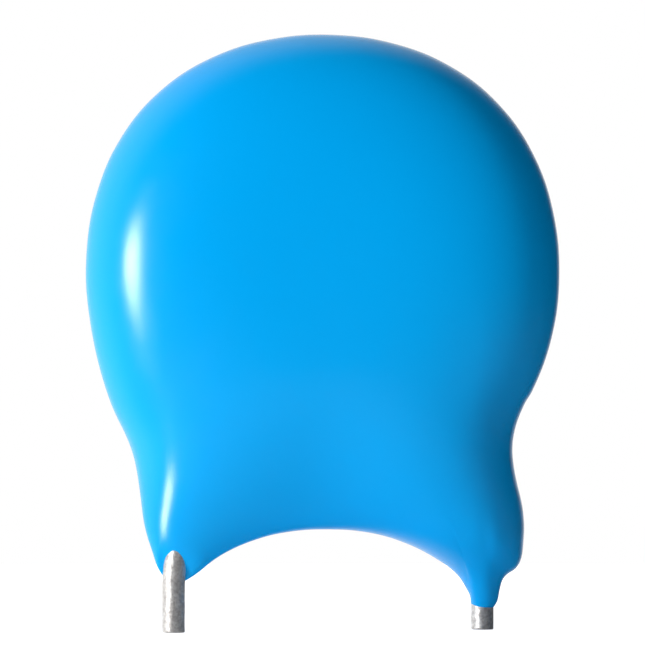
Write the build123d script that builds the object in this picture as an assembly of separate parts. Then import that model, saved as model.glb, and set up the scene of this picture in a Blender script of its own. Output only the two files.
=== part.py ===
from build123d import *
import math
import os

# Ceramic disc capacitor: a coated disc standing on two wire leads.
# Millimetres. X runs across the disc, Z is up, and Y runs from the front face to the rear.
# The origin lies midway between the two trimmed lead ends, level with their cut faces.
# A side of -1 is the front lead, on the left, and 1 is the rear lead, on the right.

# Ceramic disc, silvered on both faces
DISC_DIAMETER = 9.8
DISC_THICKNESS = 1.6
DISC_OFFSET = -0.15
ELECTRODE_THICKNESS = 0.03
ELECTRODE_MARGIN = 0.5

# Leads: a bare straight end, one bend inside the coating, then a slanted run over the disc
LEAD_PITCH = 7.5
WIRE_DIAMETER = 0.55
FRONT_BARE_LENGTH = 1.0
REAR_BARE_LENGTH = 0.5
LEAD_BEND_RADIUS = 6.0
LEAD_SLANT = 25.0
LEAD_PAST_CENTRE = 2.0

# Spindle of solder round each lead, cut flat by the electrode, and the film under the wire
SOLDER_DIAMETER = 1.2
SOLDER_LENGTH = 4.6
SOLDER_BELOW_CENTRE = 1.1
SOLDER_FILM = 0.03

# Coating on the disc: thickness over the wire and past the rim, and how squarish it is
COAT_OVER_WIRE = 0.68
COAT_PAST_RIM = 0.86
SQUARENESS = 0.026
ROUND_START = -30.0
ROUND_END = 190.0
ROUND_STEPS = 15

# Arch between the feet: its crown, and how far it drops on its way to a lead
ARCH_HEIGHT = 2.46
ARCH_SHIFT = -0.10
ARCH_DROP = 1.56
ARCH_POWER = 2.34
ARCH_REACH = 0.72
ARCH_STEPS = 6
WEB_UNDER_DISC = 1.37

# Tip of each foot, as (across from its lead, height above its bare length)
LEFT_TIP = [(-0.29, 0.38), (0.03, 0.16), (0.45, 0.32)]
RIGHT_TIP = [
    (-0.63, 0.84),
    (-0.38, 0.48),
    (-0.30, 0.14),
    (0.00, -0.14),
    (0.31, 0.10),
    (0.38, 0.42),
    (0.49, 0.76),
]

# Flank of each foot, as shares (across, up) of the way from its tip to the round body
LEFT_FLANK = [(0.13, 0.09), (0.24, 0.19), (0.31, 0.33), (0.42, 0.48), (0.72, 0.665)]
RIGHT_FLANK = [(0.52, 0.06), (0.72, 0.20), (0.69, 0.37), (0.36, 0.58), (0.30, 0.75), (0.74, 0.94)]

# Rounding of the coating between the flat of each face and its edge, and the angles from
# straight down over which the flat reaches down into the skirt and hollows above the arch
ROUNDING_BODY = 3.1
ROUNDING_ARCH = 1.12
FLAT_INTO_FEET = 0.55
SKIRT_FROM = 120.0
SKIRT_BLEND = 80.0
HOLLOW_WIDTH = 18.0
FEET_BELOW_CENTRE = 2.5
RING_STEPS = 5

# Fullness of a rib: a quarter of a circle, more at the feet, and thin where it meets a lead
QUARTER_HANDLE = 0.5523
FOOT_FULLNESS = 0.2
TIP_THINNING = 0.85
TIP_ALONG_LEAD = 0.4
TIP_WIDTH = 1.7

wire_radius = WIRE_DIAMETER / 2
disc_radius = DISC_DIAMETER / 2
disc_centre = Vector(DISC_OFFSET, 0, ARCH_HEIGHT + WEB_UNDER_DISC + disc_radius)
body_radius = disc_radius + COAT_PAST_RIM
electrode_face = DISC_THICKNESS / 2 + ELECTRODE_THICKNESS
wire_depth = electrode_face + SOLDER_FILM + wire_radius
coat_depth = wire_depth + wire_radius + COAT_OVER_WIRE
lead_across = LEAD_PITCH / 2
feet_top = disc_centre.Z - FEET_BELOW_CENTRE


def smooth_share(value, low, high):
    """0 up to low, 1 from high on, and an even S between them."""
    share = min(max((value - low) / (high - low), 0.0), 1.0)
    return share * share * (3 - 2 * share)


def round_edge(angle):
    """Point of the round stretch of the edge, at an angle from +X."""
    turn = math.radians(angle)
    radius = body_radius * (1 + SQUARENESS * (1 - math.cos(4 * turn)) / 2)
    return disc_centre + Vector(radius * math.cos(turn), 0, radius * math.sin(turn))


def arch_edge(share):
    """Point of the arch, at a share from -1 at the left lead to 1 at the right one."""
    across = share * lead_across
    drop = ARCH_DROP * abs((across - ARCH_SHIFT) / lead_across) ** ARCH_POWER
    return Vector(across, 0, ARCH_HEIGHT - drop)


def tip_edge(side, bare_length, offsets):
    """Points round the tip of a foot."""
    lead_end = Vector(side * lead_across, 0, bare_length)
    return [lead_end + Vector(across, 0, up) for across, up in offsets]


def flank_edge(tip, body, shares):
    """Points of a flank, from the tip of the foot up to the round body."""
    return [Vector(tip.X + (body.X - tip.X) * x, 0, tip.Z + (body.Z - tip.Z) * z) for x, z in shares]


def edge_outline():
    """Closed edge of the coating as seen from the front, counter-clockwise from the right."""
    turn = (ROUND_END - ROUND_START) / ROUND_STEPS
    body = [round_edge(ROUND_START + turn * i) for i in range(ROUND_STEPS + 1)]
    left_tip = tip_edge(-1, FRONT_BARE_LENGTH, LEFT_TIP)
    right_tip = tip_edge(1, REAR_BARE_LENGTH, RIGHT_TIP)
    left_flank = flank_edge(left_tip[0], body[-1], LEFT_FLANK)
    right_flank = flank_edge(right_tip[-1], body[0], RIGHT_FLANK)
    stride = 2 * ARCH_REACH / ARCH_STEPS
    arch = [arch_edge(-ARCH_REACH + stride * i) for i in range(ARCH_STEPS + 1)]
    return body + left_flank[::-1] + left_tip + arch + right_tip + right_flank


def foot_share(point):
    """0 on the body, 1 at the height of the bare lead ends."""
    return smooth_share(feet_top - point.Z, 0, feet_top - FRONT_BARE_LENGTH)


def tip_share(point):
    """1 beside a lead at the tip of its foot, falling to 0 away from it."""
    aside = (abs(point.X) - lead_across) / (TIP_WIDTH * WIRE_DIAMETER)
    above = max(point.Z - FRONT_BARE_LENGTH, 0.0) / (TIP_WIDTH * WIRE_DIAMETER)
    return math.exp(-aside**2 - above**2)


def at_depth(point):
    """The same point at its own depth: the edge swings from the front lead to the rear one."""
    side = min(max(point.X / lead_across, -1.0), 1.0)
    return Vector(point.X, wire_depth * side * foot_share(point), point.Z)


def angle_from_down(point):
    """Angle about the disc centre from straight down, positive to the right."""
    return math.degrees(math.atan2(point.X - disc_centre.X, disc_centre.Z - point.Z))


def flat_radius(down):
    """Distance from the disc centre to the rim of the flat, at an angle from straight down."""
    top = body_radius - ROUNDING_BODY
    arch = disc_centre.Z - ARCH_HEIGHT - ROUNDING_ARCH
    feet = arch + FLAT_INTO_FEET
    skirt = smooth_share(SKIRT_FROM - abs(down), 0, SKIRT_BLEND)
    hollow = math.exp(-((down / HOLLOW_WIDTH) ** 2))
    return top + (feet - top) * skirt - (feet - arch) * hollow


def flat_angles(points):
    """Angle of the flat's rim for each edge point: radial on the body, then in step below it."""
    angles = [angle_from_down(point) for point in points]
    below = points[ROUND_STEPS:] + points[:1]
    lengths = [(b - a).length for a, b in zip(below, below[1:])]
    turn = angles[0] - angles[ROUND_STEPS]
    for i in range(1, len(lengths)):
        angles[ROUND_STEPS + i] = angles[ROUND_STEPS] + turn * sum(lengths[:i]) / sum(lengths)
    return angles


def rib(edge, down, face_side):
    """Four control points of the curve from the flat's rim to the edge on one face."""
    turn = math.radians(down)
    reach = flat_radius(down)
    rim = disc_centre + Vector(reach * math.sin(turn), face_side * coat_depth, -reach * math.cos(turn))
    up = Vector(0, rim.Y - edge.Y, 0)
    out = edge + up - rim
    foot = foot_share(edge)
    tip = tip_share(edge)
    leave = rim + out * (QUARTER_HANDLE + FOOT_FULLNESS * foot)
    fullness = (QUARTER_HANDLE + FOOT_FULLNESS * foot / 2) * (1 - TIP_THINNING * tip)
    arrive = edge + up * fullness - out * (TIP_ALONG_LEAD * tip)
    return rim, leave, arrive, edge


def rib_point(controls, share):
    """Point of a rib at a share of its way, 0 at the flat and 1 at the edge."""
    a, b, c, d = controls
    rest = 1 - share
    return a * rest**3 + b * (3 * rest**2 * share) + c * (3 * rest * share**2) + d * share**3


def coating_skin():
    """Solid inside the coating's outer skin: rings from the front flat, round the edge, to the rear."""
    edge = [at_depth(point) for point in edge_outline()]
    downs = flat_angles(edge)
    shares = [i / RING_STEPS for i in range(RING_STEPS + 1)]
    front_ribs = [rib(point, down, -1) for point, down in zip(edge, downs)]
    rear_ribs = [rib(point, down, 1) for point, down in zip(edge, downs)]
    rings = [[rib_point(controls, share) for controls in front_ribs] for share in shares]
    rings += [[rib_point(controls, share) for controls in rear_ribs] for share in shares[-2::-1]]
    spans = [(b - a).length for a, b in zip(edge, edge[1:] + edge[:1])]
    marks = [sum(spans[:i]) for i in range(len(spans) + 1)]
    wires = [Wire([Edge.make_spline(ring, periodic=True, parameters=marks)]) for ring in rings]
    return Solid.make_loft(wires)


def face_disc(radius, start, thickness):
    """Flat round disc on the disc's axis, from depth start to start + thickness."""
    plane = Plane(disc_centre + Vector(0, start, 0), x_dir=(1, 0, 0), z_dir=(0, 1, 0))
    return plane * extrude(Circle(radius), thickness)


def lead_direction(side):
    """Direction of a lead's slanted run, upwards."""
    slant = math.radians(LEAD_SLANT)
    return Vector(-side * math.sin(slant), 0, math.cos(slant))


def lead_bend(side, bare_length):
    """Start, middle and end of a lead's bend."""
    start = Vector(side * lead_across, side * wire_depth, bare_length)
    centre = start - Vector(side * LEAD_BEND_RADIUS, 0, 0)
    turns = [math.radians(LEAD_SLANT * share) for share in (0, 0.5, 1)]
    return [centre + Vector(side * math.cos(t), 0, math.sin(t)) * LEAD_BEND_RADIUS for t in turns]


def run_point(side, bare_length, height):
    """Point of a lead's slanted run at a height."""
    end = lead_bend(side, bare_length)[-1]
    along = lead_direction(side)
    return end + along * ((height - end.Z) / along.Z)


def lead(side, bare_length):
    """Round wire from its cut end, through its bend, to its end on the disc."""
    foot = Vector(side * lead_across, side * wire_depth, 0)
    start, middle, end = lead_bend(side, bare_length)
    top = run_point(side, bare_length, disc_centre.Z + LEAD_PAST_CENTRE)
    bend = Edge.make_three_point_arc(start, middle, end)
    path = Wire([Edge.make_line(foot, start), bend, Edge.make_line(end, top)])
    section = Plane(foot, z_dir=(0, 0, 1)) * Circle(wire_radius)
    return sweep(section, path=path)


def solder(side, bare_length):
    """Spindle of solder round the lead, cut by the electrode's face."""
    low = (wire_radius, -SOLDER_LENGTH / 2)
    high = (wire_radius, SOLDER_LENGTH / 2)
    arc = ThreePointArc(low, (SOLDER_DIAMETER / 2, 0), high)
    profile = make_face(Curve() + [arc, Line(high, low)])
    middle = run_point(side, bare_length, disc_centre.Z - SOLDER_BELOW_CENTRE)
    along = lead_direction(side)
    inward = Vector(0, -side, 0)
    plane = Plane(middle, x_dir=inward, z_dir=inward.cross(along))
    spindle = plane * revolve(profile, Axis.Y)
    outer_half = face_disc(disc_radius, side * electrode_face, side * SOLDER_DIAMETER)
    return spindle & outer_half


def build():
    """All pieces by name, each cut to meet its neighbours face to face."""
    pieces = {
        "ceramic_disc": face_disc(disc_radius, -DISC_THICKNESS / 2, DISC_THICKNESS),
        "front_electrode": face_disc(disc_radius - ELECTRODE_MARGIN, -electrode_face, ELECTRODE_THICKNESS),
        "rear_electrode": face_disc(disc_radius - ELECTRODE_MARGIN, DISC_THICKNESS / 2, ELECTRODE_THICKNESS),
        "front_lead": lead(-1, FRONT_BARE_LENGTH),
        "rear_lead": lead(1, REAR_BARE_LENGTH),
        "front_solder": solder(-1, FRONT_BARE_LENGTH),
        "rear_solder": solder(1, REAR_BARE_LENGTH),
    }
    coating = coating_skin()
    for piece in pieces.values():
        coating = coating - piece
    pieces["coating"] = coating
    return pieces


os.makedirs("parts", exist_ok=True)
for name, shape in build().items():
    export_step(shape, f"parts/{name}.step")
    print(f"{name}: {shape.volume:.3f} cubic millimetres")
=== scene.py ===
"""Ceramic disc capacitor: the dressed model and its small studio.

Everything is in metres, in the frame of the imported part: X runs across the disc, Z is up and Y
runs from the front face to the rear. The origin lies midway between the two trimmed lead ends.
"""

import logging
import math
from dataclasses import dataclass, field
from enum import Enum

import bmesh
import bpy
from mathutils import Euler, Matrix, Vector, noise

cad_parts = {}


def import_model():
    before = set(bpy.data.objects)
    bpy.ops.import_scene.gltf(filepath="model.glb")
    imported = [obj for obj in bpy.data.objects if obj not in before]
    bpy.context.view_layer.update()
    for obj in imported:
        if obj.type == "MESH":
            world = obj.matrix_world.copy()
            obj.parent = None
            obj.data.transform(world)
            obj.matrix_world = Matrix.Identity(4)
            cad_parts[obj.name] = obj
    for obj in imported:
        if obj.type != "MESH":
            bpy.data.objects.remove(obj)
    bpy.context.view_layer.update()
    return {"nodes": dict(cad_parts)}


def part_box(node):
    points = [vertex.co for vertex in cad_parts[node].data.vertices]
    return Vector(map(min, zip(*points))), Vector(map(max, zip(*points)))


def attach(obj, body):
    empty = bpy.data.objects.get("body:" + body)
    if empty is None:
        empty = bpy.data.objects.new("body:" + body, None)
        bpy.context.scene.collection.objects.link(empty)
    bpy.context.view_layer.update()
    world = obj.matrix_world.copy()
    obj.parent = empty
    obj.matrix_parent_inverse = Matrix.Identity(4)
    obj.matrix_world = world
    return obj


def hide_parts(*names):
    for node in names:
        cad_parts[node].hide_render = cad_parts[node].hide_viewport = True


MM = 0.001
LOG = logging.getLogger("disc_capacitor")

# Where the bare leads stand: how far to either side of the middle, and how far in front or behind.
LEAD_ACROSS = 3.75 * MM
LEAD_DEPTH = 1.135 * MM

Ring = list[bmesh.types.BMVert]
Socket = bpy.types.NodeSocket
Span = tuple[float, float]
Colour = tuple[float, float, float]

WHOLE: Span = (0.0, 1.0)


class Face(Enum):
    """A face of the part, and its sign along Y."""

    FRONT = -1
    REAR = 1


class Side(Enum):
    """A lead's place, and its sign along X and Y: the left lead is in front, the right one behind."""

    LEFT = -1
    RIGHT = 1


def smooth_share(value: float, low: float, high: float) -> float:
    """Even S from one value to another.

    Args:
        value: Where the S is read.
        low: The value below which the share is 0.
        high: The value above which the share is 1.

    Returns:
        A share from 0 to 1.
    """
    share = min(max((value - low) / (high - low), 0.0), 1.0)
    return share * share * (3 - 2 * share)


def blend(start: float, end: float, share: float) -> float:
    """Value at a share of the way from start to end."""
    return start + (end - start) * share


def cubic(a: Vector, b: Vector, c: Vector, d: Vector, share: float) -> Vector:
    """Point of a cubic curve, from its four control points, at a share of its way."""
    rest = 1 - share
    return a * rest**3 + b * (3 * rest**2 * share) + c * (3 * rest * share**2) + d * share**3


def smooth_loop(keys: list[Vector], steps: int) -> list[Vector]:
    """Closed smooth curve through a loop of points.

    Args:
        keys: The points that the curve goes through, in order.
        steps: How many steps it takes from each point to the next.

    Returns:
        The points of the curve, steps for each key.
    """
    data = bpy.data.curves.new("loop", "CURVE")
    data.dimensions = "3D"
    data.resolution_u = steps
    spline = data.splines.new("BEZIER")
    spline.bezier_points.add(len(keys) - 1)
    for knot, key in zip(spline.bezier_points, keys):
        knot.co = key / MM
        knot.handle_left_type = knot.handle_right_type = "AUTO"
    spline.use_cyclic_u = True
    holder = bpy.data.objects.new("loop", data)
    line = bpy.data.meshes.new_from_object(holder)
    points = [vert.co * MM for vert in line.vertices]
    bpy.data.objects.remove(holder)
    bpy.data.curves.remove(data)
    bpy.data.meshes.remove(line)
    return points


def ring_edges(ring: Ring) -> list[bmesh.types.BMEdge]:
    """Edges between the neighbours of a closed ring of vertices."""
    pairs = zip(ring, ring[1:] + ring[:1])
    return [next(edge for edge in a.link_edges if edge.other_vert(a) is b) for a, b in pairs]


def grow_ring(mesh: bmesh.types.BMesh, ring: Ring, points: list[Vector]) -> Ring:
    """Extrudes a closed ring of vertices once, onto new points.

    Args:
        mesh: The mesh that holds the ring.
        ring: The ring's vertices, in order.
        points: Where the new vertices go, in the same order.

    Returns:
        The new ring's vertices, in order.
    """
    made = bmesh.ops.extrude_edge_only(mesh, edges=ring_edges(ring))["geom"]
    fresh = {item for item in made if isinstance(item, bmesh.types.BMVert)}
    grown = []
    for vert, point in zip(ring, points):
        twin = next(edge.other_vert(vert) for edge in vert.link_edges if edge.other_vert(vert) in fresh)
        twin.co = point
        grown.append(twin)
    return grown


def add_object(name: str, data: bpy.types.ID) -> bpy.types.Object:
    """Adds an object to the scene.

    Args:
        name: Its name.
        data: The mesh, camera or light that it shows.

    Returns:
        The new object.
    """
    made = bpy.data.objects.new(name, data)
    bpy.context.scene.collection.objects.link(made)
    return made


def add_mesh(name: str, mesh: bmesh.types.BMesh, material: bpy.types.Material) -> bpy.types.Object:
    """Adds a finished bmesh to the scene.

    Args:
        name: The object's name.
        mesh: Its shape, which is freed here.
        material: Its finish.

    Returns:
        The new object.
    """
    data = bpy.data.meshes.new(name)
    mesh.to_mesh(data)
    mesh.free()
    data.materials.append(material)
    return add_object(name, data)


def make_piece(name: str, mesh: bmesh.types.BMesh, material: bpy.types.Material) -> bpy.types.Object:
    """Turns a finished bmesh into a smooth-shaded piece that rides on the part.

    Args:
        name: The piece's name.
        mesh: Its shape, which is freed here.
        material: Its finish.

    Returns:
        The new object.
    """
    bmesh.ops.recalc_face_normals(mesh, faces=mesh.faces)
    piece = add_mesh(name, mesh, material)
    piece.data.shade_smooth()
    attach(piece, "root")
    LOG.info("%s: %d faces", name, len(piece.data.polygons))
    return piece


class Surface:
    """A material under construction: its shader and short ways to add nodes."""

    def __init__(self, name: str) -> None:
        """Starts a material with an empty node tree but for its shader and output.

        Args:
            name: The material's name.
        """
        self.material = bpy.data.materials.new(name)
        self.material.use_nodes = True
        self.nodes = self.material.node_tree.nodes
        self.links = self.material.node_tree.links
        self.shader = self.nodes["Principled BSDF"]
        self.place = self.nodes.new("ShaderNodeTexCoord").outputs["Object"]

    def noise(self, grain: float, detail: float, roughness: float = 0.5) -> Socket:
        """Noise of a given grain.

        Args:
            grain: The width of its patches, in metres.
            detail: How many finer layers it holds.
            roughness: How strong those layers are.

        Returns:
            The socket with its value.
        """
        node = self.nodes.new("ShaderNodeTexNoise")
        node.inputs["Scale"].default_value = 1 / grain
        node.inputs["Detail"].default_value = detail
        node.inputs["Roughness"].default_value = roughness
        self.links.new(self.place, node.inputs["Vector"])
        return node.outputs["Fac"]

    def ramp(self, value: Socket, taken: Span, given: Span) -> Socket:
        """Maps a range of a value onto another range, and holds it at the ends.

        Args:
            value: The socket with the value.
            taken: The range that is read.
            given: The range that it is mapped onto.

        Returns:
            The socket with the mapped value.
        """
        node = self.nodes.new("ShaderNodeMapRange")
        for key, number in zip(("From Min", "From Max", "To Min", "To Max"), (*taken, *given)):
            node.inputs[key].default_value = number
        self.links.new(value, node.inputs["Value"])
        return node.outputs["Result"]

    def mix(self, share: Socket, first: Colour, second: Colour) -> Socket:
        """Colour between two colours.

        Args:
            share: The socket with the share of the second colour.
            first: The colour at share 0.
            second: The colour at share 1.

        Returns:
            The socket with the mixed colour.
        """
        node = self.nodes.new("ShaderNodeMix")
        node.data_type = "RGBA"
        self.links.new(share, node.inputs["Factor"])
        node.inputs["A"].default_value = (*first, 1)
        node.inputs["B"].default_value = (*second, 1)
        return node.outputs["Result"]

    def bump(self, height: Socket, depth: float, under: Socket | None = None) -> Socket:
        """Bump from a height.

        Args:
            height: The socket that gives the height, from 0 to 1.
            depth: The depth in metres between 0 and 1.
            under: The bump that this one lies on, if any.

        Returns:
            The socket with the bumped normal.
        """
        node = self.nodes.new("ShaderNodeBump")
        node.inputs["Strength"].default_value = 1.0
        node.inputs["Distance"].default_value = depth
        self.links.new(height, node.inputs["Height"])
        if under is not None:
            self.links.new(under, node.inputs["Normal"])
        return node.outputs["Normal"]

    def feed(self, key: str, value: Socket) -> None:
        """Links a socket to one of the shader's inputs."""
        self.links.new(value, self.shader.inputs[key])

    def fix(self, key: str, value: float | tuple[float, ...]) -> None:
        """Sets one of the shader's inputs to a constant."""
        self.shader.inputs[key].default_value = value


@dataclass(frozen=True)
class Resin:
    """Dipped resin: saturated blue, half glossy, with a faint orange peel and a few specks."""

    light: Colour = (0.0, 0.378, 0.850)
    dark: Colour = (0.0, 0.368, 0.838)
    roughness: Span = (0.2, 0.23)
    roughness_over: Span = (0.35, 0.65)
    refraction: float = 1.5
    specular: float = 0.3
    patch: float = 3.0 * MM
    peel: float = 0.55 * MM
    peel_depth: float = 0.0006 * MM
    speck: float = 0.05 * MM
    speck_depth: float = 0.0002 * MM

    def material(self) -> bpy.types.Material:
        """Builds the finish.

        Returns:
            The material of the coating.
        """
        surface = Surface("resin")
        surface.feed("Base Color", surface.mix(surface.noise(self.patch, detail=3), self.dark, self.light))
        gloss = surface.ramp(surface.noise(self.peel, detail=2), self.roughness_over, self.roughness)
        surface.feed("Roughness", gloss)
        peel = surface.bump(surface.noise(self.peel, detail=1), self.peel_depth)
        surface.feed("Normal", surface.bump(surface.noise(self.speck, detail=2), self.speck_depth, peel))
        surface.fix("IOR", self.refraction)
        surface.fix("Specular IOR Level", self.specular)
        return surface.material


@dataclass(frozen=True)
class Metal:
    """Bare metal: patches of two shades, and a fine grain that dulls and roughens it."""

    name: str
    light: Colour
    dark: Colour
    roughness: Span
    grain: float
    grain_depth: float
    patch: float
    metallic: float = 1.0
    shades_over: Span = (0.35, 0.65)
    roughness_over: Span = (0.3, 0.7)

    def material(self) -> bpy.types.Material:
        """Builds the finish.

        Returns:
            The material, under the finish's own name.
        """
        surface = Surface(self.name)
        patches = surface.noise(self.patch, detail=5, roughness=0.65)
        shade = surface.ramp(patches, self.shades_over, WHOLE)
        surface.feed("Base Color", surface.mix(shade, self.dark, self.light))
        grain = surface.noise(self.grain, detail=4, roughness=0.6)
        surface.feed("Roughness", surface.ramp(grain, self.roughness_over, self.roughness))
        surface.feed("Normal", surface.bump(grain, self.grain_depth))
        surface.fix("Metallic", self.metallic)
        return surface.material


@dataclass(frozen=True)
class Ceramic:
    """Fired ceramic of the disc: dull, with a fine grain and darker pores."""

    light: Colour = (0.62, 0.52, 0.40)
    dark: Colour = (0.42, 0.34, 0.25)
    roughness: Span = (0.65, 0.8)
    grain: float = 0.08 * MM
    grain_depth: float = 0.004 * MM
    shades_over: Span = (0.3, 0.6)
    roughness_over: Span = (0.3, 0.7)

    def material(self) -> bpy.types.Material:
        """Builds the finish.

        Returns:
            The material of the disc.
        """
        surface = Surface("ceramic")
        grain = surface.noise(self.grain, detail=4, roughness=0.6)
        shade = surface.ramp(grain, self.shades_over, WHOLE)
        surface.feed("Base Color", surface.mix(shade, self.dark, self.light))
        surface.feed("Roughness", surface.ramp(grain, self.roughness_over, self.roughness))
        surface.feed("Normal", surface.bump(grain, self.grain_depth))
        return surface.material


TINNED_WIRE = Metal(
    name="tinned_wire",
    light=(0.84, 0.82, 0.79),
    dark=(0.50, 0.47, 0.45),
    roughness=(0.3, 0.5),
    grain=0.05 * MM,
    grain_depth=0.012 * MM,
    patch=0.09 * MM,
    metallic=0.6,
)
SILVER = Metal(
    name="silver",
    light=(0.86, 0.85, 0.82),
    dark=(0.72, 0.70, 0.67),
    roughness=(0.35, 0.5),
    grain=0.03 * MM,
    grain_depth=0.002 * MM,
    patch=0.4 * MM,
)
SOLDER = Metal(
    name="solder",
    light=(0.72, 0.72, 0.72),
    dark=(0.58, 0.58, 0.58),
    roughness=(0.25, 0.4),
    grain=0.15 * MM,
    grain_depth=0.01 * MM,
    patch=0.5 * MM,
)


@dataclass(frozen=True)
class Foot:
    """Lower end of the coating on one lead.

    The points of the tip are (across from the lead, height above the bare length) in millimetres,
    in order along the edge. The depths say how far the skin would stand off the lead's axis in
    front and behind if the foot were wide enough for a full dome. Where bare_top is set, the resin
    has drawn back from the front of the wire up to that height, in a round-topped opening.
    """

    side: Side
    bare_length: float
    tip: tuple[Span, ...]
    front_depth: float
    rear_depth: float
    bare_top: float = 0.0
    bare_width: float = 0.42 * MM
    bare_swing: float = 0.14 * MM

    def depth(self, face: Face) -> float:
        """The foot's depth on a face."""
        return self.front_depth if face is Face.FRONT else self.rear_depth

    def bared(self, point: Vector, face: Face, lead_across: float) -> float:
        """1 where the resin has drawn back from the front of the wire, 0 away from there.

        Args:
            point: The place in plan.
            face: The face of the coating.
            lead_across: The distance of the wires from the middle.

        Returns:
            The share, which swings within a short height above the bare stretch.
        """
        if face is Face.REAR or self.bare_top == 0:
            return 0.0
        aside = (point.x - self.side.value * lead_across) / self.bare_width
        below = smooth_share(self.bare_top + self.bare_swing - point.z, 0, self.bare_swing)
        return math.exp(-(aside**4)) * below


LEFT_FOOT = Foot(
    side=Side.LEFT,
    bare_length=1.0 * MM,
    tip=((-0.29, 0.38), (0.03, 0.16), (0.45, 0.32)),
    front_depth=0.46 * MM,
    rear_depth=1.0 * MM,
    bare_top=1.64 * MM,
)
RIGHT_FOOT = Foot(
    side=Side.RIGHT,
    bare_length=0.5 * MM,
    tip=(
        (-0.60, 0.80),
        (-0.42, 0.52),
        (-0.30, 0.28),
        (-0.26, 0.04),
        (0.03, -0.14),
        (0.34, 0.10),
        (0.42, 0.42),
        (0.53, 0.76),
    ),
    front_depth=2.0 * MM,
    rear_depth=1.06 * MM,
)


@dataclass
class Coating:
    """The dipped coating: a domed disc whose lower edge runs down into a foot on each lead.

    The edge is drawn as it is seen from the front. Rings of places lie between a flat in the middle
    and that edge, and each ring is used twice, for the front face and for the rear one. The further
    a place lies inside the edge, the further the skin stands out there, up to the full depth. At the
    feet the skin is drawn in to the leads.
    """

    centre: Vector = field(default_factory=lambda: Vector((-0.15, 0, 8.73)) * MM)
    radius: float = 5.76 * MM
    depth: float = 2.09 * MM
    lead_across: float = LEAD_ACROSS
    lead_depth: float = LEAD_DEPTH

    # The round stretch of the edge, between two angles in degrees from +X. The squareness is the
    # share of the radius by which its diagonals stand out.
    squareness: float = 0.026
    round_start: float = -30.0
    round_end: float = 190.0
    round_steps: int = 15

    # The arch between the feet. Its reach is the share of the way to the leads that it takes.
    arch_height: float = 2.46 * MM
    arch_shift: float = -0.10 * MM
    arch_drop: float = 1.56 * MM
    arch_power: float = 2.34
    arch_reach: float = 0.72
    arch_steps: int = 6

    # The feet, and the flanks above them as (share across, share up) from the tip to the round
    # stretch, from below.
    left_foot: Foot = LEFT_FOOT
    right_foot: Foot = RIGHT_FOOT
    left_flank: tuple[Span, ...] = ((0.13, 0.09), (0.24, 0.19), (0.31, 0.33), (0.42, 0.48), (0.72, 0.665))
    right_flank: tuple[Span, ...] = (
        (0.52, 0.06),
        (0.72, 0.20),
        (0.69, 0.37),
        (0.36, 0.58),
        (0.30, 0.75),
        (0.74, 0.94),
    )

    # The rim of the flat: how far it lies from the centre on top, towards the feet and towards the
    # arch. The skirt and the hollow say where it changes, in degrees from straight down.
    flat_top: float = 2.6 * MM
    flat_feet: float = 4.7 * MM
    flat_arch: float = 4.4 * MM
    skirt_from: float = 120.0
    skirt_swing: float = 80.0
    hollow_width: float = 18.0

    # The dome is full at a share of the radius inside the edge, and at feet_round inside it at the
    # tips. The feet start at feet_top.
    dome_power: float = 1.85
    dome_reach: float = 0.5
    feet_top: float = 4.8 * MM
    feet_round: float = 1.25 * MM

    # The depth that is missing in front at the end of the right foot, and in the valley between
    # the feet.
    slim_share: float = 0.62
    slim_top: float = 2.3 * MM
    slim_swing: float = 1.1 * MM
    valley_share: float = 0.16
    valley_at: float = 0.1 * MM
    valley_width: float = 1.7 * MM
    valley_top: float = 6.4 * MM
    valley_swing: float = 3.2 * MM

    # The ribs from the flat to the edge, which they meet squarely, but upright near the tips, and
    # the rings across them. The rings are evened out a few times, but not the last still_rings.
    rib_turn: float = 0.4 * MM
    tip_rise: float = 2.0 * MM
    tip_width: float = 0.94 * MM
    upright_share: float = 0.2
    edge_steps: int = 3
    rib_steps: int = 9
    relax_rounds: int = 6
    still_rings: int = 2
    cap_shares: tuple[float, ...] = (0.8, 0.6, 0.4, 0.2)

    def round_point(self, angle: float) -> Vector:
        """Point of the round stretch of the edge.

        Args:
            angle: Its angle from +X, in degrees.

        Returns:
            The point, a little further out on the diagonals than a circle.
        """
        turn = math.radians(angle)
        reach = self.radius * (1 + self.squareness * (1 - math.cos(4 * turn)) / 2)
        return self.centre + Vector((math.cos(turn), 0, math.sin(turn))) * reach

    def arch_point(self, share: float) -> Vector:
        """Point of the arch.

        Args:
            share: Its place, from -1 at the left lead to 1 at the right one.

        Returns:
            The point on the arch's lower edge.
        """
        across = share * self.lead_across
        drop = self.arch_drop * abs((across - self.arch_shift) / self.lead_across) ** self.arch_power
        return Vector((across, 0, self.arch_height - drop))

    def tip_points(self, foot: Foot) -> list[Vector]:
        """Points of the edge round the tip of a foot."""
        end = Vector((foot.side.value * self.lead_across, 0, foot.bare_length))
        return [end + Vector((across, 0, up)) * MM for across, up in foot.tip]

    def edge_keys(self) -> list[Vector]:
        """Key points of the edge as seen from the front.

        Returns:
            The points, counter-clockwise from the right end of the round stretch.
        """
        stride = (self.round_end - self.round_start) / self.round_steps
        body = [self.round_point(self.round_start + stride * i) for i in range(self.round_steps + 1)]
        left = self.tip_points(self.left_foot)
        right = self.tip_points(self.right_foot)
        left_flank = [self.between(left[0], body[-1], shares) for shares in reversed(self.left_flank)]
        right_flank = [self.between(right[-1], body[0], shares) for shares in self.right_flank]
        step = 2 * self.arch_reach / self.arch_steps
        arch = [self.arch_point(-self.arch_reach + step * i) for i in range(self.arch_steps + 1)]
        return body + left_flank + left + arch + right + right_flank

    @staticmethod
    def between(low: Vector, high: Vector, shares: Span) -> Vector:
        """Point at a share of the way across and a share of the way up from one point to another."""
        return Vector((blend(low.x, high.x, shares[0]), 0, blend(low.z, high.z, shares[1])))

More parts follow.
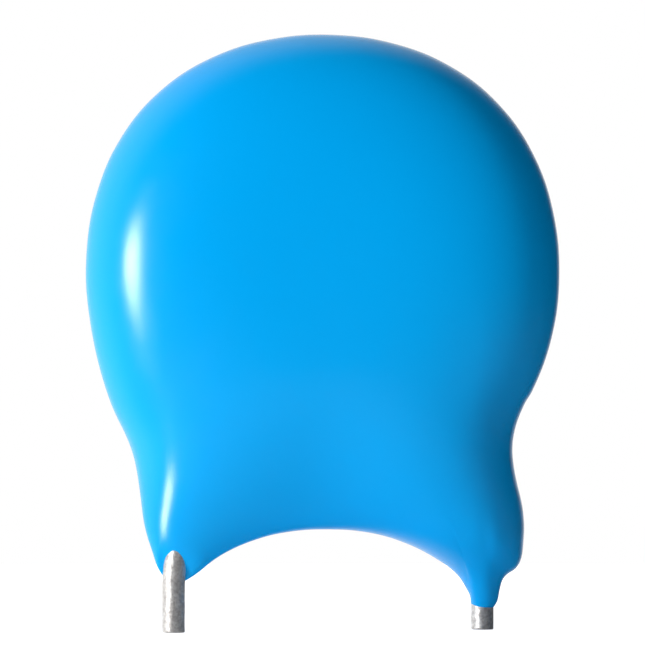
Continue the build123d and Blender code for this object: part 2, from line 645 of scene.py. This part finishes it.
    def sideways(self, point: Vector) -> float:
        """-1 at the left lead and beyond, 1 at the right one, and an even swing between them."""
        return math.sin(math.pi / 2 * min(max(point.x / self.lead_across, -1), 1))

    def right_share(self, point: Vector) -> float:
        """0 at the left lead and beyond, 1 at the right one."""
        return (1 + self.sideways(point)) / 2

    def foot_share(self, point: Vector) -> float:
        """0 on the body, 1 at the level where the foot below the point ends."""
        end = blend(self.left_foot.bare_length, self.right_foot.bare_length, self.right_share(point))
        return smooth_share(self.feet_top - point.z, 0, self.feet_top - end)

    @staticmethod
    def room_inside(point: Vector, edge: list[Vector]) -> float:
        """Smooth distance from a point to the edge round it.

        Every short piece of the edge counts by the angle under which it is seen over its distance,
        so the distance is the plain one near the edge and has no creases further in.

        Args:
            point: A point inside the edge, in plan.
            edge: The closed edge.

        Returns:
            The distance in metres.
        """
        closeness = 0.0
        for a, b in zip(edge, edge[1:] + edge[:1]):
            to_a, to_b = a - point, b - point
            twice_area = to_a.x * to_b.z - to_a.z * to_b.x
            seen = math.atan2(twice_area, to_a.x * to_b.x + to_a.z * to_b.z)
            closeness += seen * math.dist((a.x, a.z), (b.x, b.z)) / twice_area
        return math.pi / closeness

    def dome_share(self, plan: Vector, edge: list[Vector]) -> float:
        """Share of the full depth over a place.

        Args:
            plan: The place in plan.
            edge: The closed edge.

        Returns:
            1 in the middle, falling in a round to 0 at the edge.
        """
        full_at = blend(self.radius * self.dome_reach, self.feet_round, self.foot_share(plan))
        missing = max(1 - self.room_inside(plan, edge) / full_at, 0.0)
        return math.sqrt(1 - missing**self.dome_power)

    def valley(self, point: Vector) -> float:
        """Share of the depth that is missing in the valley between the feet.

        Args:
            point: The place in plan.

        Returns:
            The full share in the middle of the valley, and 0 well away from it.
        """
        aside = (point.x - self.valley_at) / self.valley_width
        below = smooth_share(self.valley_top - point.z, 0, self.valley_swing)
        return self.valley_share * math.exp(-(aside**2)) * below

    def slimming(self, point: Vector) -> float:
        """Share of the front depth that is missing at the end of the right foot."""
        below = smooth_share(self.slim_top - point.z, 0, self.slim_swing)
        return self.slim_share * self.right_share(point) * below

    def skin_point(self, plan: Vector, dome: float, face: Face) -> Vector:
        """Point of the skin over a place in plan.

        Args:
            plan: The place.
            dome: The share of the full depth there.
            face: The face that it is on.

        Returns:
            The point: at full depth on the body, and hugging the leads at the feet.
        """
        foot = self.foot_share(plan)
        tip_depth = blend(self.left_foot.depth(face), self.right_foot.depth(face), self.right_share(plan))
        tip_depth *= 1 - self.left_foot.bared(plan, face, self.lead_across)
        if face is Face.FRONT:
            tip_depth *= 1 - self.slimming(plan)
        dome *= 1 - self.valley(plan)
        middle = self.lead_depth * self.sideways(plan) * foot
        return Vector((plan.x, middle + face.value * blend(self.depth, tip_depth, foot) * dome, plan.z))

    def tip_share(self, point: Vector) -> float:
        """How much a point of the edge belongs to the tip of a foot.

        Args:
            point: The point.

        Returns:
            1 beside a lead and no higher than the left foot's end, falling to 0 away from there.
        """
        aside = (abs(point.x) - self.lead_across) / self.tip_width
        above = max(point.z - self.left_foot.bare_length, 0) / self.tip_width
        return math.exp(-(aside**2) - above**2)

    def flat_reach(self, down: float) -> float:
        """Distance from the disc's centre to the rim of the flat.

        Args:
            down: The angle from straight down, in degrees.

        Returns:
            The distance in metres, which is larger towards the feet than on top.
        """
        skirt = smooth_share(self.skirt_from - abs(down), 0, self.skirt_swing)
        hollow = math.exp(-((down / self.hollow_width) ** 2))
        return blend(self.flat_top, self.flat_feet, skirt) - (self.flat_feet - self.flat_arch) * hollow

    def flat_loop(self, edge: list[Vector]) -> list[Vector]:
        """Rim of the flat, one point for each point of the edge.

        Args:
            edge: The closed edge, starting on the right of the round stretch.

        Returns:
            Points radially inside the edge on the disc, and in step with its length below it.
        """
        body = self.round_steps * self.edge_steps
        angles = [math.atan2(point.x - self.centre.x, self.centre.z - point.z) for point in edge]
        below = edge[body:] + edge[:1]
        spans = [abs(b.x - a.x) + self.upright_share * abs(b.z - a.z) for a, b in zip(below, below[1:])]
        turn = angles[0] - angles[body]
        for i in range(1, len(spans)):
            angles[body + i] = angles[body] + turn * sum(spans[:i]) / sum(spans)
        ways = [Vector((math.sin(angle), 0, -math.cos(angle))) for angle in angles]
        reaches = [self.flat_reach(math.degrees(angle)) for angle in angles]
        return [self.centre + way * reach for way, reach in zip(ways, reaches)]

    def rib_plan(self, flat: Vector, edge: Vector, inward: Vector, share: float) -> Vector:
        """Place in plan on the rib from a point of the flat's rim to the point of the edge for it."""
        turn = (inward * self.rib_turn).lerp(Vector((0, 0, self.tip_rise)), self.tip_share(edge))
        return cubic(flat, flat.lerp(edge, 1 / 3), edge + turn, edge, share)

    def relaxed(
        self, plans: list[list[Vector]], edge: list[Vector], shares: list[float]
    ) -> list[list[Vector]]:
        """Rings in plan, with each place moved to the middle of its neighbours again and again.

        Args:
            plans: The rings from the rim of the flat outwards. The first one stays, as do the
                last still_rings.
            edge: The closed edge.
            shares: How far from the flat to the edge each ring lies.

        Returns:
            The rings, evenly spread and still as close to the edge as before.
        """
        rings, marks = [*plans, edge], [*shares, 1.0]
        for _ in range(self.relax_rounds):
            for j in range(1, len(plans) - self.still_rings):
                part = (marks[j] - marks[j - 1]) / (marks[j + 1] - marks[j - 1])
                ring = rings[j]
                beside = zip(ring[-1:] + ring[:-1], ring[1:] + ring[:1], rings[j - 1], rings[j + 1])
                rings[j] = [(a + b) / 4 + low.lerp(high, part) / 2 for a, b, low, high in beside]
        return rings[:-1]

    def levels(self, edge: list[Vector]) -> list[tuple[list[Vector], list[float]]]:
        """Rings in plan from the middle of the flat out to the edge, with their dome shares.

        Args:
            edge: The closed edge.

        Returns:
            The places and the dome shares of each ring. The last ring is the edge, at no depth.
        """
        flat = self.flat_loop(edge)
        pairs = zip(edge[-1:] + edge[:-1], edge[1:] + edge[:1])
        inward = [(b - a).cross(Vector((0, 1, 0))).normalized() for a, b in pairs]
        ribs = list(zip(flat, edge, inward))
        shares = [math.sin(math.pi / 2 * i / self.rib_steps) for i in range(self.rib_steps)]
        plans = [[self.rib_plan(*rib, share) for rib in ribs] for share in shares]
        middle = sum(flat, Vector()) / len(flat)
        caps = [[middle.lerp(start, share) for start in flat] for share in reversed(self.cap_shares)]
        rings = caps + self.relaxed(plans, edge, shares)
        levels = [(ring, [self.dome_share(place, edge) for place in ring]) for ring in rings]
        return [*levels, (edge, [0.0] * len(edge))]

    def build(self, material: bpy.types.Material) -> bpy.types.Object:
        """Makes the coating from a ring on the front flat, grown over the edge to the rear flat.

        Args:
            material: The resin.

        Returns:
            The piece, which stands for the plain coating of the frame.
        """
        levels = self.levels(smooth_loop(self.edge_keys(), self.edge_steps))
        walk = [(Face.FRONT, level) for level in levels] + [(Face.REAR, level) for level in levels[-2::-1]]
        first, *others = [
            [self.skin_point(place, dome, face) for place, dome in zip(*level)] for face, level in walk
        ]
        mesh = bmesh.new()
        circle = bmesh.ops.create_circle(mesh, cap_ends=True, segments=len(first), radius=self.flat_top)
        ring = circle["verts"]
        for vert, point in zip(ring, first):
            vert.co = point
        for points in others:
            ring = grow_ring(mesh, ring, points)
        bmesh.ops.edgeloop_fill(mesh, edges=ring_edges(ring))
        piece = make_piece("coating_skin", mesh, material)
        smooth = piece.modifiers.new("smooth", "SUBSURF")
        smooth.levels = smooth.render_levels = 2
        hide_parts("coating")
        return piece


@dataclass
class Lead:
    """Tinned round wire: a bare straight end, a wide bend in the coating and a run over the disc."""

    name: str
    side: Side
    bare_length: float
    top: float
    across: float = LEAD_ACROSS
    depth: float = LEAD_DEPTH
    wire_radius: float = 0.275 * MM
    bend_radius: float = 6.0 * MM
    slant: float = 25.0
    segments: int = 48
    bare_steps: int = 12
    bend_steps: int = 16
    end_round: float = 0.035 * MM
    end_steps: int = 3
    end_slack: float = 0.0035 * MM
    lump: float = 0.006 * MM
    lump_width: float = 0.25 * MM
    lump_top: float = 2.5 * MM

    def foot(self) -> Vector:
        """Middle of the trimmed end."""
        return Vector((self.side.value * self.across, self.side.value * self.depth, 0))

    def bare_end(self, mesh: bmesh.types.BMesh) -> Ring:
        """Extrudes a round section from the trimmed end up to the start of the bend.

        Args:
            mesh: The wire's mesh, still empty.

        Returns:
            The section on top.
        """
        place = Matrix.Translation(self.foot())
        circle = bmesh.ops.create_circle(mesh, segments=self.segments, radius=self.wire_radius, matrix=place)
        ring = cut = circle["verts"]
        for i in range(1, self.bare_steps + 1):
            up = Vector((0, 0, self.bare_length * i / self.bare_steps))
            ring = grow_ring(mesh, ring, [vert.co + up for vert in cut])
        return ring

    def bend_and_run(self, mesh: bmesh.types.BMesh, ring: Ring) -> None:
        """Spins a section through the bend and extrudes it along the slant to the wire's top.

        Args:
            mesh: The wire's mesh.
            ring: The section at the start of the bend.
        """
        sign, slope = self.side.value, math.radians(self.slant)
        bend = bmesh.ops.spin(
            mesh,
            geom=ring_edges(ring),
            cent=self.foot() + Vector((-sign * self.bend_radius, 0, self.bare_length)),
            axis=(0, 1, 0),
            angle=-sign * slope,
            steps=self.bend_steps,
        )["geom_last"]
        verts = [item for item in bend if isinstance(item, bmesh.types.BMVert)]
        edges = [item for item in bend if isinstance(item, bmesh.types.BMEdge)]
        along = Vector((-sign * math.sin(slope), 0, math.cos(slope)))
        height = sum(vert.co.z for vert in verts) / len(verts)
        run = bmesh.ops.extrude_edge_only(mesh, edges=edges)["geom"]
        fresh = [item for item in run if isinstance(item, bmesh.types.BMVert)]
        bmesh.ops.translate(mesh, verts=fresh, vec=along * ((self.top - height) / along.z))

    def round_cut_end(self, mesh: bmesh.types.BMesh) -> None:
        """Rounds the rim of the trimmed end.

        Args:
            mesh: The wire's mesh, closed at both ends.
        """
        rim = [edge for edge in mesh.edges if all(vert.co.z < self.end_slack for vert in edge.verts)]
        bmesh.ops.bevel(
            mesh,
            geom=rim,
            offset=self.end_round,
            affect="EDGES",
            segments=self.end_steps,
            profile=0.5,
            material=-1,
        )

    def add_lumps(self, mesh: bmesh.types.BMesh) -> None:
        """Gives the tinned skin its slight unevenness, on the stretch that shows.

        Args:
            mesh: The wire's mesh.
        """
        foot = self.foot()
        for vert in mesh.verts:
            if self.end_round < vert.co.z < self.lump_top:
                away = (vert.co - foot) * Vector((1, 1, 0))
                vert.co += away.normalized() * self.lump * noise.noise(vert.co / self.lump_width)

    def build(self, material: bpy.types.Material) -> bpy.types.Object:
        """Makes the wire, from its trimmed end to its top over the disc.

        Args:
            material: The tinned finish.

        Returns:
            The piece, which stands for the plain lead of the frame.
        """
        mesh = bmesh.new()
        self.bend_and_run(mesh, self.bare_end(mesh))
        open_edges = [edge for edge in mesh.edges if edge.is_boundary]
        bmesh.ops.holes_fill(mesh, edges=open_edges, sides=self.segments)
        self.round_cut_end(mesh)
        self.add_lumps(mesh)
        piece = make_piece(self.name, mesh, material)
        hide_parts("front_lead" if self.side is Side.LEFT else "rear_lead")
        return piece


@dataclass(frozen=True)
class Lamp:
    """Soft far lamp.

    It is turned by degrees to the right of the camera's side and above the horizon, and its spread
    is its width in degrees. A lamp that isn't mirrored gives no highlight: the wide ones would lie
    on the glossy resin as a pale haze.
    """

    name: str
    turned: Span
    level: float
    spread: float
    mirrored: bool = False
    colour: Colour = (1.0, 1.0, 1.0)

    def build(self) -> None:
        """Adds the lamp to the scene.

        It shines from its own side towards the part.
        """
        data = bpy.data.lights.new(self.name, "SUN")
        data.energy = self.level
        data.color = self.colour
        data.cycles.use_multiple_importance_sampling = self.mirrored
        data.angle = math.radians(self.spread)
        holder = add_object(self.name, data)
        holder.rotation_euler = Euler((math.radians(90 - self.turned[1]), 0, math.radians(self.turned[0])))
        holder.visible_glossy = self.mirrored


KEY_LIGHT = Lamp("key_light", turned=(-54.0, 2.0), level=2.4, spread=15.0, mirrored=True)
TOP_LIGHT = Lamp("top_light", turned=(-45.0, 60.0), level=0.7, spread=60.0)
FRONT_LIGHT = Lamp("front_light", turned=(5.0, 0.0), level=0.62, spread=60.0, colour=(0.8, 0.87, 1.0))


@dataclass
class Studio:
    """Camera, a key light from the left, two soft lamps, a pale floor and a white surround."""

    frame_width: float = 15.66 * MM
    aim: Vector = field(default_factory=lambda: Vector((-0.152, 0, 7.49)) * MM)
    lens: float = 500.0
    sensor: float = 36.0
    clip_near: float = 2.175 * MM
    clip_far: float = 10.0
    lamps: tuple[Lamp, ...] = (KEY_LIGHT, TOP_LIGHT, FRONT_LIGHT)

    # The surround is bright where it faces the bright side, by the cosine between the two.
    bright_side: tuple[float, float, float] = (-0.6, 0.75, 0.25)
    bright_over: Span = (0.15, 0.7)

    # The floor glows evenly for the camera. The light that it throws up fades from left to right.
    floor_radius: float = 60.0 * MM
    floor_segments: int = 64
    floor_colour: float = 0.9
    floor_glow: float = 0.8
    bounce: float = 0.95
    bounce_over: Span = (-16.0 * MM, 8.0 * MM)

    def camera(self) -> None:
        """Adds the camera.

        It has a long lens, and stands level and square on to the front face.
        """
        data = bpy.data.cameras.new("camera")
        data.lens = self.lens
        data.sensor_width = self.sensor
        data.clip_start = self.clip_near
        data.clip_end = self.clip_far
        distance = self.frame_width * self.lens / self.sensor
        holder = add_object("camera", data)
        holder.location = self.aim - Vector((0, distance, 0))
        holder.rotation_euler = Euler((math.radians(90), 0, 0))
        bpy.context.scene.camera = holder

    def world(self) -> None:
        """Adds the surround.

        It is white for the camera and through the part. Otherwise it lights the part only from
        behind on the left, so that the front face keeps its deep colour.
        """
        world = bpy.data.worlds.new("surround")
        world.use_nodes = True
        nodes, links = world.node_tree.nodes, world.node_tree.links
        facing = nodes.new("ShaderNodeVectorMath")
        facing.operation = "DOT_PRODUCT"
        facing.inputs[1].default_value = self.bright_side
        links.new(nodes.new("ShaderNodeTexCoord").outputs["Generated"], facing.inputs[0])
        light = nodes.new("ShaderNodeMapRange")
        light.interpolation_type = "SMOOTHSTEP"
        light.inputs["From Min"].default_value, light.inputs["From Max"].default_value = self.bright_over
        links.new(facing.outputs["Value"], light.inputs["Value"])
        seen = nodes.new("ShaderNodeLightPath").outputs
        straight = nodes.new("ShaderNodeMath")
        straight.operation = "MAXIMUM"
        links.new(seen["Is Camera Ray"], straight.inputs[0])
        links.new(seen["Is Transmission Ray"], straight.inputs[1])
        level = nodes.new("ShaderNodeMix")
        level.inputs["B"].default_value = 1.0
        links.new(straight.outputs["Value"], level.inputs["Factor"])
        links.new(light.outputs["Result"], level.inputs["A"])
        back = nodes["Background"]
        back.inputs["Color"].default_value = (1, 1, 1, 1)
        links.new(level.outputs["Result"], back.inputs["Strength"])
        bpy.context.scene.world = world

    def floor_finish(self) -> bpy.types.Material:
        """Builds the floor's finish.

        Returns:
            A dull pale material that glows.
        """
        surface = Surface("pale_floor")
        surface.fix("Roughness", 1.0)
        surface.fix("Specular IOR Level", 0.0)
        surface.fix("Base Color", (*[self.floor_colour] * 3, 1))
        surface.fix("Emission Color", (1, 1, 1, 1))
        spread = surface.nodes.new("ShaderNodeSeparateXYZ")
        surface.links.new(surface.place, spread.inputs["Vector"])
        bounce = surface.ramp(spread.outputs["X"], self.bounce_over, (self.bounce, 0.0))
        seen = surface.nodes.new("ShaderNodeLightPath").outputs
        glow = surface.nodes.new("ShaderNodeMix")
        surface.links.new(seen["Is Camera Ray"], glow.inputs["Factor"])
        surface.links.new(bounce, glow.inputs["A"])
        glow.inputs["B"].default_value = self.floor_glow
        surface.feed("Emission Strength", glow.outputs["Result"])
        return surface.material

    def floor(self) -> None:
        """Adds the floor.

        It isn't mirrored in the part, where it would show as a pale band.
        """
        mesh = bmesh.new()
        bmesh.ops.create_circle(mesh, cap_ends=True, segments=self.floor_segments, radius=self.floor_radius)
        floor = add_mesh("floor", mesh, self.floor_finish())
        floor.visible_glossy = False

    def build(self) -> None:
        """Sets up the lamps, the surround and the floor.

        The camera isn't among them. It is added before the pieces are.
        """
        for lamp in self.lamps:
            lamp.build()
        self.world()
        self.floor()
        bpy.context.scene.view_settings.view_transform = "Standard"
        LOG.info("studio: %d lamps, a surround and a floor", len(self.lamps))


def dress_node(node: bpy.types.Object, material: bpy.types.Material) -> None:
    """Gives a carried-over piece of the frame its finish.

    Args:
        node: The piece.
        material: Its finish.
    """
    for slot in node.material_slots:
        slot.material = material
    LOG.info("%s: dressed as %s", node.name, material.name)


def main() -> None:
    """Dresses the frame.

    The coating and the leads are made anew. The inner pieces are kept, with finishes of their own.
    """
    logging.basicConfig(level=logging.INFO, format="%(name)s: %(message)s")
    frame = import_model()
    studio = Studio()
    studio.camera()
    Coating().build(Resin().material())
    wire = TINNED_WIRE.material()
    Lead("front_wire", Side.LEFT, LEFT_FOOT.bare_length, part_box("front_lead")[1].z).build(wire)
    Lead("rear_wire", Side.RIGHT, RIGHT_FOOT.bare_length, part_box("rear_lead")[1].z).build(wire)
    nodes = frame["nodes"]
    dress_node(nodes["ceramic_disc"], Ceramic().material())
    silver = SILVER.material()
    solder = SOLDER.material()
    for face in ("front", "rear"):
        dress_node(nodes[f"{face}_electrode"], silver)
        dress_node(nodes[f"{face}_solder"], solder)
    studio.build()


if __name__ == "__main__":
    main()
